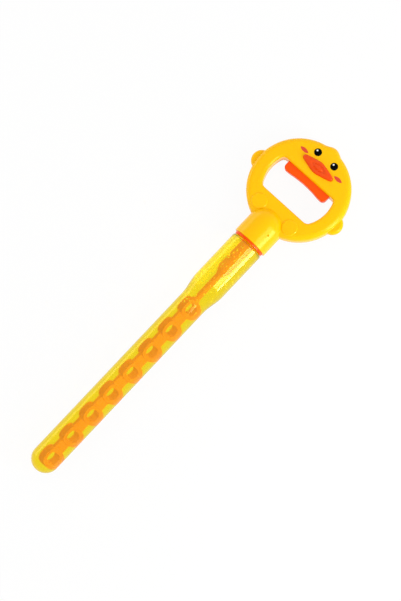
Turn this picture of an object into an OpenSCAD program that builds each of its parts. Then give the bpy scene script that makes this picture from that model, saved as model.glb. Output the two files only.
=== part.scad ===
// Bubble wand: a ringed stick that hangs in a bottle of solution, under a round duck-face grip head.
// The wand lies on its back: +X runs from the closed end of the bottle to the top of the head,
// +Z is the way the face looks, and the origin is on the surface below the middle of its length.

/* [Bottle] */
// Outside diameter of the long tube
tube_d = 30; // [26:0.5:32]
// Straight length of the tube, from its round end to the shoulder
tube_len = 234; // [200:1:260]
// Length of the shoulder between the tube and the belly
shoulder_len = 30.5; // [20:0.5:45]
// Length of the wide belly above the shoulder
belly_len = 49; // [35:1:70]
// Rounding of the upper edge of the belly
belly_edge = 2.2; // [0.5:0.1:3]
// Wall of the tube, the shoulder and the belly
bottle_wall = 1.2; // [0.9:0.1:1.6]
// Length of the air space between the solution and the top of the belly
air_len = 7.5; // [4:0.5:30]

/* [Neck and thread] */
// Root diameter of the threaded neck
neck_d = 29.2; // [28.6:0.2:31]
// Wall of the neck
neck_wall = 1.8; // [1.5:0.1:2]
// Length of the neck, from the end of the belly to the lip
neck_len = 18.5; // [17.5:0.5:22]
// Rise of the thread in one turn
thread_pitch = 4; // [3.6:0.1:4.2]
// Depth of the thread
thread_depth = 0.9; // [0.6:0.1:1.1]
// Width of the thread at its root
thread_w = 1.6; // [1.2:0.1:1.6]
// Turns of the thread on the neck
neck_turns = 1.5; // [1:0.25:1.5]
// Turns of the thread inside the screw cap
cap_turns = 1.25; // [1:0.25:1.5]

/* [Screw cap, gasket and stopper] */
// Wall of the screw cap
cap_wall = 1.8; // [1.5:0.1:2.4]
// Thickness of the ceiling of the screw cap
ceiling_t = 2.2; // [1.8:0.1:3]
// Length of the screw cap that shows below the head
rim_show = 2.2; // [1:0.1:3]
// Thickness of the sealing gasket
gasket_t = 1.4; // [1:0.1:2]
// Thickness of the flange of the stopper
flange_t = 1.6; // [1.2:0.1:2.4]
// Length of the sealing bead of the stopper
bead_len = 3; // [2:0.5:4]

/* [Stick] */
// Number of bubble rings
ring_count = 8; // [4:1:8]
// Thickness of a ring, through its hole
ring_t = 6; // [5:0.5:8]
// Diameter of the hole in a ring
ring_hole_d = 12.4; // [8:0.2:13]
// Turn of the rings about the length of the stick, away from the face
ring_turn = -60; // [-90:1:90]
// Width of the flat links between the rings
link_w = 12.6; // [8:0.2:14]
// Diameter of the stem above the rings
stalk_d = 5.6; // [4:0.2:7]
// Diameter of the stem where it passes through the stopper
stem_d = 10; // [8:0.2:10]

/* [Head] */
// Diameter of the round head
head_d = 108; // [100:1:116]
// Thickness of the head, front to back
head_t = 19; // [18:0.5:24]
// Wall of the two shells
shell_wall = 2; // [1.6:0.1:2.2]
// Rounding of the outer edge of the head
head_edge = 6; // [4:0.5:7]
// Straight length of the collar of the head, over the screw cap
collar_len = 22.6; // [21:0.2:28]
// Distance from the centre of the domed collar to the centre of the head
head_rise = 51.6; // [48:0.2:58]
// Width of the rim between the edge of the head and the finger window
limb_w = 16.5; // [14:0.5:18]
// Distance from the centre of the head down to the straight lower edge of the window
window_low = 22; // [18:0.5:24]
// Distance from the centre of the head up to the upper edge of the window
window_high = 15.4; // [12:0.2:17]
// Radius of the rounded lower corners of the window
window_corner = 3; // [2:0.5:5]
// Radius of the rounded upper corners of the window
window_crown = 3; // [1:0.5:5]
// Distance from the centre of the head to the top of the tuft
tuft_reach = 56.9; // [55:0.1:62]
// Radius of the tuft
tuft_r = 12; // [9:0.5:14]
// Distance from the centre line to the tip of a wing
wing_reach = 60; // [57:0.5:66]
// Radius of a wing
wing_r = 11; // [9:0.5:13]
// Diameter of the round feet in front of the rim
foot_d = 17.2; // [10:0.2:18]

/* [Face] */
// Width of the beak
beak_w = 39.6; // [32:0.2:42]
// Height of the beak, from lip to lip
beak_h = 15; // [10:0.2:16]
// How far the beak stands out from the face
beak_out = 4.6; // [3:0.2:6]
// Diameter of an eye
eye_d = 7.7; // [6:0.1:9]
// Spacing of the eyes
eye_gap = 22.4; // [18:0.2:26]
// Width of a cheek mark
cheek_w = 9.4; // [8:0.2:12]
// Height of a cheek mark
cheek_h = 3; // [2:0.2:5]
// Spacing of the cheek marks
cheek_gap = 46.4; // [42:0.2:50]

/* [Trigger and squeaker] */
// Depth of the trigger that shows in the window
trigger_drop = 9.4; // [7:0.2:11]
// Thickness of the trigger
trigger_t = 8; // [6:0.5:8.5]
// Travel of the trigger
trigger_travel = 5; // [3:0.5:6]
// Depth of the finger hollow along the edge of the trigger
trigger_dip = 2.3; // [1:0.1:3]
// Diameter of the spring wire
wire_d = 0.8; // [0.6:0.1:1]
// Turns of each spring
spring_turns = 6; // [5:1:7]
// Number of folds in the bellows
bellows_folds = 3; // [2:1:3]

/* [Hidden] */
$fn = 72;

// Overrun of every cut past the face that it leaves
cut = 1;
// Depth to which joined solids are sunk into each other
sink = 0.3;
// Gap between flat faces that meet
face_gap = 0.1;
// Radial gap of a running fit
run_gap = 0.06;
// Gap round a loose moving piece
play = 0.3;
// Radial gap between the neck and the screw cap, at the crest of each thread
thread_gap = 0.3;
// Radial gap between the screw cap and the shells
nest_gap = 0.15;
// Gap between the belly and the rim of the screw cap
rim_gap = 0.8;
// Gap between the solution and what it wets
film_gap = 0.1;

// Radii of the bottle
tube_r = tube_d / 2;
neck_r = neck_d / 2;
neck_bore_r = neck_r - neck_wall;
crest_r = neck_r + thread_depth;
cap_bore_r = crest_r + thread_gap;
cap_r = cap_bore_r + cap_wall;
collar_r = cap_r + nest_gap + shell_wall;
// Step from the screw cap out to the belly
belly_step = 0.7;
belly_r = cap_r + belly_step;
// Length over which the inside of the belly closes on the neck
neck_slope = 1;

// Places along the length, from the closed end of the bottle
shoulder_x = tube_len;
belly_x = shoulder_x + shoulder_len;
neck_x = belly_x + belly_len;
lip_x = neck_x + neck_len;
gasket_x = lip_x + face_gap;
flange_x = gasket_x + gasket_t + face_gap;
ceiling_x = flange_x + flange_t + face_gap;
cap_top_x = ceiling_x + ceiling_t;
cap_rim_x = neck_x + rim_gap;
collar_x = cap_rim_x + rim_show;
dome_x = collar_x + collar_len;
head_x = dome_x + head_rise;
total_len = head_x + tuft_reach;

// Thread places, from the closed end of the bottle to the middle of the first turn
thread_start = 4.6;
neck_thread_x = neck_x + thread_start;
cap_thread_x = neck_thread_x - thread_pitch / 2;
// Width of the crest of a thread, as a share of its root
crest_share = 0.5;
// Length over which a thread fades at its ends, as a share of the whole, and its depth at the very end
fade_share = 0.1;
fade_end_share = 0.25;
// Facets in one turn of a thread or spring
turn_steps = 30;
wire_steps = 14;
wire_sides = 6;

// Stopper: the plain skirt is thinner than the bead, so that the gasket can slide on it
skirt_gap = 1.4;
skirt_r = neck_bore_r - skirt_gap;
gasket_edge = 0.2;
gasket_bore_r = skirt_r + gasket_edge;
gasket_r = neck_r - gasket_edge;
cap_lift = neck_turns * thread_pitch;
bead_drop = 1;
bead_top_x = lip_x - cap_lift - bead_drop;
bead_x = bead_top_x - bead_len;
// Wall of the stopper at its bead
stopper_wall = 2;

// Stick
stem_r = stem_d / 2;
stalk_r = stalk_d / 2;
// Thickness of a link, as a share of the thickness of a ring
link_share = 0.75;
link_t = ring_t * link_share;
// Room left round the rings as they pass the neck
ring_play = 1.8;
ring_reach = min(neck_bore_r, tube_r - bottle_wall) - ring_play;
ring_r = sqrt(pow(ring_reach, 2) - pow(ring_t / 2, 2));
ring_hole_r = ring_hole_d / 2;
tip_gap = 8.6;
top_ring_drop = 8.9;
first_ring_x = bottle_wall + tip_gap + ring_r;
last_ring_x = shoulder_x - top_ring_drop;
ring_pitch = (last_ring_x - first_ring_x) / (ring_count - 1);
// Width of a groove in the rim of a ring, as a share of the ring's thickness
groove_share = 0.15;
groove_w = ring_t * groove_share;
groove_depth = 0.7;
collar_t = 2;
collar_out = 2;
collar_top_x = bead_x - play;
tang_gap = 1.1;
tang_r = stem_r - tang_gap;
// Length of the plain stem above the last ring, and of the cone that follows it
stalk_len = 20;
cone_len = 38;

// Boss on the ceiling of the screw cap, which the ribs of the shells hold
boss_wall = 3.5;
boss_r = tang_r + boss_wall;
boss_len = 8.5;
boss_flange_t = 2.5;
boss_flange_out = 3;
boss_top_x = cap_top_x + boss_len;
rib_t = 2;
rib_space = boss_len - boss_flange_t;
key_w = 4;
key_h = 4;
key_len = 1.8;
key_off = 13;

// Fasteners
screw_r = 1.45;
screw_gap = 0.05;
stem_screw_len = 16;
stem_head_r = 3.1;
stem_head_t = 2.2;
washer_r = 6;
washer_t = 1;
screw_head_r = 2.75;
screw_head_t = 2;
screw_well = 1.2;
screw_tip_gap = 2.4;
// Length and width of a screw's cross recess, as shares of the radius of its head
drive_share = 1.2;
slit_share = 0.3;
post_wall = 2;
post_r = screw_r + post_wall;

// Head
head_r = head_d / 2;
half_t = head_t / 2;
window_r = head_r - limb_w;
tuft_x = tuft_reach - tuft_r;
wing_h = 4.5;
wing_edge = 3;
wing_x = -4.4;
wing_y = wing_reach - wing_r;
foot_x = -36.5;
foot_y = 20.8;
foot_out = 0.9;
foot_edge = 1;
foot_sink = 1.2;
inner_h = half_t - shell_wall;
rim_mid_r = head_r - limb_w / 2;
rim_post_x = -8;
brow_post_x = 34;
brow_post_y = 32;
crown_post_gap = 7.5;
chin_post_gap = 7.5;
POSTS = [
    [-window_low - chin_post_gap, 0],
    [rim_post_x, sqrt(pow(rim_mid_r, 2) - pow(rim_post_x, 2))],
    [rim_post_x, -sqrt(pow(rim_mid_r, 2) - pow(rim_post_x, 2))],
    [brow_post_x, brow_post_y],
    [brow_post_x, -brow_post_y],
    [head_r - crown_post_gap, 0]
];

// Face
beak_x = 28.9;
beak_sink = 0.1;
beak_base = 1.2;
beak_post_y = 13;
beak_post_r = 1.8;
beak_post_len = 6;
// Outline of the beak: its fullness, taper and bluntness, as shares of half its height and width
beak_full_share = 1.07;
beak_taper_share = 0.6;
beak_blunt_share = 0.1;
beak_end_share = 0.995;
// Power with which the outline of the beak closes at its tips
beak_tip_power = 12;
// Fall of the beak towards its tips, as a share of its rise
beak_fall_share = 0.45;
// Oval groove of the mouth: its depth as a share of the rise, and its half height and half width
mouth_depth_share = 0.3;
mouth_h_share = 0.4;
mouth_w_share = 0.36;
// Half width of the groove, as a share of the mouth's own size
mouth_soft_share = 0.4;
eye_x = 41.1;
eye_out = 1.3;
eye_recess = 0.5;
eye_stem_r = 2;
eye_stem_len = 3.2;
cheek_x = 33.7;
ink_t = 0.15;

// Trigger, held behind the upper wall of the window
slot_x = window_high + shell_wall;
window_half = sqrt(pow(window_r, 2) - pow(window_high, 2));
trigger_inset = 6.2;
trigger_half = window_half - trigger_inset;
trigger_low = window_high - trigger_drop;
trigger_corner = 4;
dip_half = 20;
dip_r = (pow(dip_half, 2) + pow(trigger_dip, 2)) / (2 * trigger_dip);
tab_t = 2;
tab_out = 3;
tab_rise = 1.8;
tab_x = slot_x + play;
tab_top_x = tab_x + tab_t;
pin_y = 23;
pin_r = 2.2;
spring_reserve = 4.4;
spring_len = trigger_travel + spring_turns * wire_d + spring_reserve;
guide_t = 2;
guide_half = 5;
guide_x = tab_top_x + spring_len;
pin_end_x = guide_x + guide_t + play;
spring_gap = 0.4;
spring_r = pin_r + spring_gap + wire_d / 2;

// Squeaker behind the face
bellows_r = 6.6;
fold_depth = 2.4;
bellows_wall = 0.8;
bellows_x = tab_top_x + face_gap;
reed_x = guide_x + face_gap;
bellows_len = reed_x - face_gap - bellows_x;
reed_r = 4;
reed_len = 6;
reed_bore_r = 1.2;
spigot_r = 2;
spigot_len = 2.2;
vent_w = 1.2;
vent_len = 9;
vent_pitch = 2.8;
VENTS = [-1, 0, 1];

// Moves a piece from its place along the bottle's length to the part's own frame
module placed() {
    translate([-total_len / 2, 0, collar_r]) children();
}

// Moves a piece from the centre of the head
module on_head() {
    placed() translate([head_x, 0, 0]) children();
}

// Turns a solid of revolution so that its axis runs along the wand
module along_x() {
    rotate([0, 90, 0]) children();
}

// A plain round bar along the wand, from one place to another
module bar(x_from, x_to, r) {
    translate([x_from, 0, 0]) along_x() cylinder(r = r, h = x_to - x_from);
}

// Points of a quarter circle that closes a tube, as [radius, place]
function round_end(centre, r, steps) =
    [for (i = [0 : steps]) [r * sin(90 * i / steps), centre - r * cos(90 * i / steps)]];

// Points of the smooth shoulder between two radii, as [radius, place]
function shoulder(r_from, r_to, steps) =
    [for (i = [1 : steps])
        [r_from + (r_to - r_from) * (1 - cos(180 * i / steps)) / 2, shoulder_x + shoulder_len * i / steps]];

// Points of the rounded upper edge of the belly, as [radius, place]
function crown(steps) =
    [for (i = [0 : steps])
        [belly_r - belly_edge * (1 - cos(90 * i / steps)), neck_x - belly_edge * (1 - sin(90 * i / steps))]];

// The points of a list in the opposite order
function backwards(list) = [for (i = [len(list) - 1 : -1 : 0]) list[i]];

// Height of a thread along its length, which fades at both ends
function fade(share) = min(1, min(share, 1 - share) / fade_share + fade_end_share);

// One helical ridge about Z: out is 1 on a neck and -1 inside a cap
module ridge(root, depth, turns, out) {
    steps = ceil(turns * turn_steps);
    points = [for (i = [0 : steps]) let (
            share = i / steps,
            a = 360 * turns * share,
            z = thread_pitch * turns * share,
            crest = root + out * depth * fade(share),
            foot = root - out * sink,
            half_foot = thread_w / 2,
            half_crest = thread_w * crest_share / 2)
        each [for (p = [[foot, -half_foot], [crest, -half_crest], [crest, half_crest], [foot, half_foot]])
            [p[0] * cos(a), p[0] * sin(a), z + p[1]]]];
    sweep(points, 4, steps, out);
}

// Skins a tube of rings with the given number of sides; out of -1 turns its faces round
module sweep(points, sides, steps, out) {
    skin = [for (i = [0 : steps - 1]) for (j = [0 : sides - 1]) let (
            a = i * sides + j,
            b = i * sides + (j + 1) % sides,
            c = a + sides,
            d = b + sides)
        each [[a, b, d], [a, d, c]]];
    ends = [for (j = [1 : sides - 2]) each [
        [0, j + 1, j],
        [steps * sides, steps * sides + j, steps * sides + j + 1]]];
    faces = concat(skin, ends);
    polyhedron(points, out > 0 ? faces : [for (f = faces) [f[2], f[1], f[0]]]);
}

// Outline of the finger window, grown outwards by the given amount
module window_outline(grow) {
    r = window_r + grow;
    low_r = window_corner + grow;
    high_r = window_crown + grow;
    low_x = window_corner - window_low;
    high_x = window_high - window_crown;
    low_cut = low_x * r / (r - low_r);
    high_cut = high_x * r / (r - high_r);
    hull() {
        intersection() {
            circle(r);
            translate([low_cut, -r]) square([high_cut - low_cut, 2 * r]);
        }
        for (side = [-1, 1]) {
            translate([low_x, side * sqrt(pow(r - low_r, 2) - pow(low_x, 2))]) circle(low_r, $fn = 32);
            translate([high_x, side * sqrt(pow(r - high_r, 2) - pow(high_x, 2))]) circle(high_r, $fn = 32);
        }
    }
}

// Upper half of a disc with a rounded outer edge
module half_disc(r, h, edge) {
    rotate_extrude() {
        square([r - edge, h]);
        square([r, h - edge]);
        translate([r - edge, h - edge]) intersection() {
            circle(edge);
            square(edge);
        }
    }
}

// Front half of the head and its tuft, drawn in by the given amount
module head_form(inset) {
    half_disc(head_r - inset, half_t - inset, head_edge - inset);
    translate([tuft_x, 0, 0]) half_disc(tuft_r - inset, half_t - inset, head_edge - inset);
}

// Front half of the domed collar, drawn in by the given amount and open at its rim
module collar_form(inset, overrun) {
    intersection() {
        translate([-head_rise, 0, 0]) {
            bar(-collar_len - overrun, 0, collar_r - inset);
            sphere(collar_r - inset);
        }
        translate([-head_rise - collar_len - overrun, -collar_r, 0])
            cube([2 * collar_len + collar_r + overrun, 2 * collar_r, collar_r]);
    }
}

// What both shells share: rim, collar, window, trigger slot, ribs, guides and screw posts
module shell_blank(post_bore) {
    difference() {
        union() {
            head_form(0);
            collar_form(0, 0);
            for (side = [-1, 1]) translate([wing_x, side * wing_y, 0]) half_disc(wing_r, wing_h, wing_edge);
        }
        difference() {
            union() {
                head_form(shell_wall);
                collar_form(shell_wall, cut);
            }
            translate([0, 0, -cut]) linear_extrude(half_t + 2 * cut) window_outline(shell_wall);
        }
        translate([0, 0, -cut]) linear_extrude(half_t + 2 * cut) window_outline(0);
        translate([window_high - cut, -trigger_half - play, -cut])
            cube([shell_wall + 2 * cut, 2 * (trigger_half + play), trigger_t / 2 + play + cut]);
    }
    cap_ribs();
    pin_guides();
    difference() {
        for (p = POSTS) translate([p[0], p[1], 0]) cylinder(r = post_r, h = inner_h + sink);
        for (p = POSTS) translate([p[0], p[1], -cut]) cylinder(r = post_bore, h = inner_h + 2 * cut);
    }
}

// Two ribs that hold the boss of the screw cap, notched for its keys
module cap_ribs() {
    rib_gap = rib_space - rib_t - face_gap;
    difference() {
        intersection() {
            for (x = [face_gap, rib_gap])
                translate([cap_top_x - head_x + x, -collar_r, 0]) cube([rib_t, 2 * collar_r, collar_r]);
            collar_form(shell_wall - sink, 0);
        }
        bar(cap_top_x - head_x - cut, boss_top_x - head_x + cut, boss_r + nest_gap);
        for (side = [-1, 1])
            translate([cap_top_x - head_x - cut, side * key_off - key_w / 2 - face_gap, -cut])
                cube([key_len + cut + face_gap, key_w + 2 * face_gap, key_h / 2 + cut + face_gap]);
    }
}

// Half bearings for the two guide pins of the trigger and for the squeaker
module pin_guides() {
    difference() {
        for (y = [-pin_y, 0, pin_y])
            translate([guide_x, y - guide_half, 0]) cube([guide_t, 2 * guide_half, inner_h + sink]);
        for (y = [-pin_y, pin_y])
            translate([0, y, 0]) bar(guide_x - cut, guide_x + guide_t + cut, pin_r + run_gap);
        bar(guide_x - cut, guide_x + guide_t + cut, reed_r + screw_gap);
    }
}

// Clear yellow bottle: round-ended tube, shoulder, belly and threaded neck
module bottle() {
    steps = 16;
    outer = concat(
        round_end(tube_r, tube_r, steps),
        [[tube_r, shoulder_x]],
        shoulder(tube_r, belly_r, steps),
        crown(steps / 2),
        [[neck_r, neck_x], [neck_r, lip_x]]);
    inner = concat(
        round_end(tube_r, tube_r - bottle_wall, steps),
        [[tube_r - bottle_wall, shoulder_x]],
        shoulder(tube_r - bottle_wall, belly_r - bottle_wall, steps),
        [[belly_r - bottle_wall, neck_x - bottle_wall - neck_slope], [neck_bore_r, neck_x - bottle_wall],
         [neck_bore_r, lip_x]]);
    color("gold", 0.45) placed() {
        along_x() rotate_extrude() polygon(concat(outer, backwards(inner)));
        translate([neck_thread_x, 0, 0]) along_x() ridge(neck_r, thread_depth, neck_turns, 1);
    }
}

// Bubble solution, which fills the tube and the shoulder and stands between the rings
module bubble_solution() {
    steps = 16;
    wall = bottle_wall + film_gap;
    level_x = neck_x - air_len;
    color("khaki", 0.5) placed() difference() {
        along_x() rotate_extrude() polygon(concat(
            round_end(tube_r, tube_r - wall, steps),
            [[tube_r - wall, shoulder_x]],
            shoulder(tube_r - wall, belly_r - wall, steps),
            [[belly_r - wall, level_x], [0, level_x]]));
        stick_form(play);
    }
}

// Gasket between the lip of the bottle and the stopper
module gasket() {
    color("whitesmoke") placed() difference() {
        bar(gasket_x, gasket_x + gasket_t, gasket_r);
        bar(gasket_x - cut, gasket_x + gasket_t + cut, gasket_bore_r);
    }
}

// Stopper: a flange over the gasket, a plain skirt and a bead that runs in the neck
module neck_stopper() {
    bore_r = stem_r + run_gap;
    bead_r = neck_bore_r - run_gap;
    top_x = flange_x + flange_t;
    web_x = bead_top_x;
    color("orangered") placed() along_x() rotate_extrude() polygon([
        [bore_r, bead_x], [bore_r + stopper_wall, bead_x], [bore_r + stopper_wall, web_x],
        [skirt_r - stopper_wall, web_x], [skirt_r - stopper_wall, bead_x], [bead_r, bead_x],
        [bead_r, bead_top_x], [skirt_r, bead_top_x], [skirt_r, flange_x], [gasket_r, flange_x],
        [gasket_r, top_x], [bore_r, top_x]]);
}

// Screw cap: threaded skirt, ceiling, and the boss that the shells and the stem are held by
module screw_cap() {
    color("orangered") placed() {
        difference() {
            union() {
                bar(cap_rim_x, cap_top_x, cap_r);
                bar(cap_top_x - sink, boss_top_x, boss_r);
                bar(boss_top_x - boss_flange_t, boss_top_x, boss_r + boss_flange_out);
                for (side = [-1, 1])
                    translate([cap_top_x - sink, side * key_off - key_w / 2, -key_h / 2])
                        cube([key_len + sink, key_w, key_h]);
            }
            bar(cap_rim_x - cut, ceiling_x, cap_bore_r);
            bar(ceiling_x - cut, boss_top_x + cut, tang_r + screw_gap);
        }
        translate([cap_thread_x, 0, 0]) along_x() ridge(cap_bore_r, thread_depth, cap_turns, -1);
    }
}

// One bubble ring about Z, ribbed round its rim and without its hole
module ring_disc(grow) {
    r = ring_r + grow;
    h = ring_t / 2 + grow;
    w = (groove_w - grow) / 2;
    groove_r = r - groove_depth;
    rotate_extrude() polygon([
        [0, -h], [r, -h], [r, -h / 2 - w], [groove_r, -h / 2 - w], [groove_r, -h / 2 + w], [r, -h / 2 + w],
        [r, -w], [groove_r, -w], [groove_r, w], [r, w],
        [r, h / 2 - w], [groove_r, h / 2 - w], [groove_r, h / 2 + w], [r, h / 2 + w], [r, h], [0, h]]);
}

// The stick as far as the screw cap, grown by the given amount
module stick_form(grow) {
    cone_x = last_ring_x + ring_r + stalk_len;
    difference() {
        union() {
            for (i = [0 : ring_count - 1])
                translate([first_ring_x + i * ring_pitch, 0, 0]) rotate([-ring_turn, 0, 0]) ring_disc(grow);
            rotate([-ring_turn, 0, 0]) translate([first_ring_x, -link_w / 2 - grow, -link_t / 2 - grow])
                cube([last_ring_x - first_ring_x, link_w + 2 * grow, link_t + 2 * grow]);
            bar(last_ring_x, cone_x + sink, stalk_r + grow);
            translate([cone_x, 0, 0]) along_x() cylinder(r1 = stalk_r + grow, r2 = stem_r + grow, h = cone_len);
            bar(cone_x + cone_len - sink, collar_top_x - collar_t + sink, stem_r + grow);
            bar(collar_top_x - collar_t, collar_top_x, stem_r + collar_out + grow);
        }
        for (i = [0 : ring_count - 1])
            translate([first_ring_x + i * ring_pitch, 0, 0]) rotate([-ring_turn, 0, 0])
                cylinder(r = ring_hole_r - grow, h = ring_t + 2 * cut, center = true);
    }
}

// Moulded stick: rings and links, stem, collar under the stopper, and a tang in the screw cap
module bubble_stick() {
    tang_x = boss_top_x - face_gap;
    color("darkorange") placed() difference() {
        union() {
            stick_form(0);
            bar(collar_top_x - sink, ceiling_x - face_gap, stem_r);
            bar(ceiling_x - face_gap - sink, tang_x, tang_r);
        }
        bar(tang_x - stem_screw_len, tang_x + cut, screw_r + screw_gap);
    }
}

// Steel washer on the boss of the screw cap
module stem_washer() {
    x = boss_top_x + face_gap;
    color("silver") placed() difference() {
        bar(x, x + washer_t, washer_r);
        bar(x - cut, x + washer_t + cut, screw_r + screw_gap);
    }
}

// Steel screw that draws the stem up into the screw cap
module stem_screw() {
    x = boss_top_x + face_gap + washer_t + face_gap;
    color("silver") placed() difference() {
        union() {
            bar(x, x + stem_head_t, stem_head_r);
            bar(x - stem_screw_len, x + sink, screw_r);
        }
        translate([x + stem_head_t, 0, 0]) rotate([0, -90, 0]) drive_cross(stem_head_r, stem_head_t / 2);
    }
}

// Cross recess for the head of a screw, sunk from the origin up along Z
module drive_cross(r, depth) {
    arm = r * drive_share;
    slit = r * slit_share;
    for (turn = [0, 90]) rotate([0, 0, turn])
        translate([-arm / 2, -slit / 2, -cut]) cube([arm, slit, depth + cut]);
}

// Front shell, with the feet, the pockets of the eyes and the holes of the beak
module front_shell() {
    color("gold") on_head() difference() {
        union() {
            shell_blank(screw_r + screw_gap);
            for (side = [-1, 1])
                translate([foot_x, side * foot_y, half_t - foot_sink])
                    half_disc(foot_d / 2, foot_out + foot_sink, foot_edge);
        }
        for (side = [-1, 1]) {
            translate([eye_x, side * eye_gap / 2, half_t - eye_recess])
                cylinder(r = eye_d / 2 + screw_gap, h = eye_recess + cut);
            translate([eye_x, side * eye_gap / 2, inner_h - cut])
                cylinder(r = eye_stem_r + screw_gap, h = shell_wall + 2 * cut);
            translate([beak_x, side * beak_post_y, inner_h - cut])
                cylinder(r = beak_post_r + screw_gap, h = shell_wall + 2 * cut);
        }
    }
}

// Rear shell, with the wells of the screws and the sound vents of the squeaker
module rear_shell() {
    color("gold") on_head() mirror([0, 0, 1]) difference() {
        shell_blank(screw_r + play);
        for (p = POSTS) {
            translate([p[0], p[1], half_t - screw_well - screw_head_t])
                cylinder(r = screw_head_r + play, h = screw_well + screw_head_t + cut);
            translate([p[0], p[1], -cut]) cylinder(r = screw_r + play, h = half_t + 2 * cut);
        }
        for (v = VENTS)
            translate([reed_x + reed_len / 2 + v * vent_pitch - vent_w / 2, -vent_len / 2, inner_h - cut])
                cube([vent_w, vent_len, shell_wall + 2 * cut]);
    }
}

// Screws that join the two shells from behind
module shell_screws() {
    seat_z = -half_t + screw_well;
    tip_z = inner_h - screw_tip_gap;
    color("silver") on_head() for (p = POSTS) translate([p[0], p[1], 0]) difference() {
        union() {
            translate([0, 0, seat_z]) cylinder(r = screw_head_r, h = screw_head_t - face_gap);
            translate([0, 0, seat_z]) cylinder(r = screw_r, h = tip_z - seat_z);
        }
        translate([0, 0, seat_z]) drive_cross(screw_head_r, screw_head_t / 2);
    }
}

// Half height of the beak's outline at a share of its half width
function beak_half(t) =
    beak_h / 2 * (beak_full_share - beak_taper_share * sqrt(t * t + pow(beak_blunt_share, 2)))
    * sqrt(max(0, 1 - pow(t, beak_tip_power)));

// How far a place on the beak lies from the middle of the mouth, where 1 is the line of the groove
function mouth_reach(t, s) = sqrt(pow(t / mouth_w_share, 2) + pow(s / mouth_h_share, 2));

// Height of the beak over the face, at shares across its width and its height
function beak_top(t, s) =
    beak_base * sqrt(max(0, 1 - pow(s, 4)))
    + (beak_out - beak_base) * sqrt(max(0, 1 - s * s)) * (1 - beak_fall_share * t * t)
      * (1 - mouth_depth_share * exp(-pow((mouth_reach(t, s) - 1) / mouth_soft_share, 2)));

// Orange beak: a rounded lens with an oval mouth groove, on two posts
module beak() {
    columns = 40;
    rows = 18;
    top = [for (i = [0 : columns]) let (t = -cos(180 * i / columns) * beak_end_share, h = beak_half(abs(t)))
        each [for (j = [0 : rows]) let (s = -cos(180 * j / rows))
            [s * h, t * beak_w / 2, beak_top(t, s)]]];
    across = rows + 1;
    count = (columns + 1) * across;
    bottom = [for (p = top) [p[0], p[1], -beak_sink]];
    sheet = [for (i = [0 : columns - 1]) for (j = [0 : rows - 1]) let (a = i * across + j)
        each [[a, a + across + 1, a + 1], [a, a + across, a + across + 1]]];
    edge = concat(
        [for (j = [0 : rows - 1]) [j, j + 1]],
        [for (i = [0 : columns - 1]) [i * across + rows, (i + 1) * across + rows]],
        [for (j = [rows : -1 : 1]) [columns * across + j, columns * across + j - 1]],
        [for (i = [columns : -1 : 1]) [i * across, (i - 1) * across]]);
    walls = [for (e = edge) each [[e[0], e[1], e[0] + count], [e[1], e[1] + count, e[0] + count]]];
    faces = concat(sheet, [for (f = sheet) [f[2] + count, f[1] + count, f[0] + count]], walls);
    color("tomato") on_head() translate([beak_x, 0, half_t]) {
        translate([0, 0, beak_sink + face_gap]) polyhedron(concat(top, bottom), faces);
        for (side = [-1, 1])
            translate([0, side * beak_post_y, -beak_post_len])
                cylinder(r = beak_post_r, h = beak_post_len + beak_base);
    }
}

// Black eye with a domed front and a stem in the shell
module eye(side) {
    r = eye_d / 2;
    dome_r = (r * r + eye_out * eye_out) / (2 * eye_out);
    color("black") on_head() translate([eye_x, side * eye_gap / 2, half_t - eye_recess + face_gap])
        rotate_extrude() {
            square([r, eye_recess]);
            translate([0, eye_recess]) intersection() {
                translate([0, eye_out - dome_r]) circle(dome_r);
                square([r, eye_out]);
            }
            translate([0, -eye_stem_len]) square([eye_stem_r, eye_stem_len + sink]);
        }
}

module left_eye() eye(-1);

module right_eye() eye(1);

// Printed cheek marks, drawn as a layer of ink
module cheek_marks() {
    points = 28;
    color("indianred") on_head() for (side = [-1, 1])
        translate([cheek_x, side * cheek_gap / 2, half_t]) linear_extrude(ink_t)
            polygon([for (i = [0 : points - 1])
                [cheek_h / 2 * cos(360 * i / points), cheek_w / 2 * sin(360 * i / points)]]);
}

// Finger trigger: the bar in the window, the tab that stops it, and two guide pins
module trigger() {
    color("orangered") on_head() {
        difference() {
            translate([0, 0, -trigger_t / 2]) linear_extrude(trigger_t) union() {
                translate([trigger_low + trigger_corner, -trigger_half])
                    square([tab_x + sink - trigger_low - trigger_corner, 2 * trigger_half]);
                translate([trigger_low, trigger_corner - trigger_half])
                    square([trigger_corner + sink, 2 * (trigger_half - trigger_corner)]);
                for (side = [-1, 1])
                    translate([trigger_low + trigger_corner, side * (trigger_half - trigger_corner)])
                        circle(trigger_corner);
            }
            translate([trigger_low + trigger_dip - dip_r, 0, -trigger_t / 2 - cut])
                cylinder(r = dip_r, h = trigger_t + 2 * cut);
        }
        translate([tab_x, -trigger_half - tab_out, -trigger_t / 2 - tab_rise])
            cube([tab_t, 2 * (trigger_half + tab_out), trigger_t + 2 * tab_rise]);
        for (y = [-pin_y, pin_y]) translate([0, y, 0]) bar(tab_top_x - sink, pin_end_x, pin_r);
    }
}

// Compression spring round one guide pin
module spring(y) {
    steps = spring_turns * wire_steps;
    rise = spring_len - wire_d - 2 * face_gap;
    points = [for (i = [0 : steps]) let (a = 360 * i / wire_steps, z = rise * i / steps)
        each [for (j = [0 : wire_sides - 1]) let (
                b = 360 * j / wire_sides,
                r = spring_r + wire_d / 2 * cos(b))
            [r * cos(a), r * sin(a), z + wire_d / 2 * sin(b)]]];
    color("silver") on_head() translate([tab_top_x + face_gap + wire_d / 2, y, 0]) along_x()
        sweep(points, wire_sides, steps, 1);
}

module left_spring() spring(-pin_y);

module right_spring() spring(pin_y);

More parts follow.
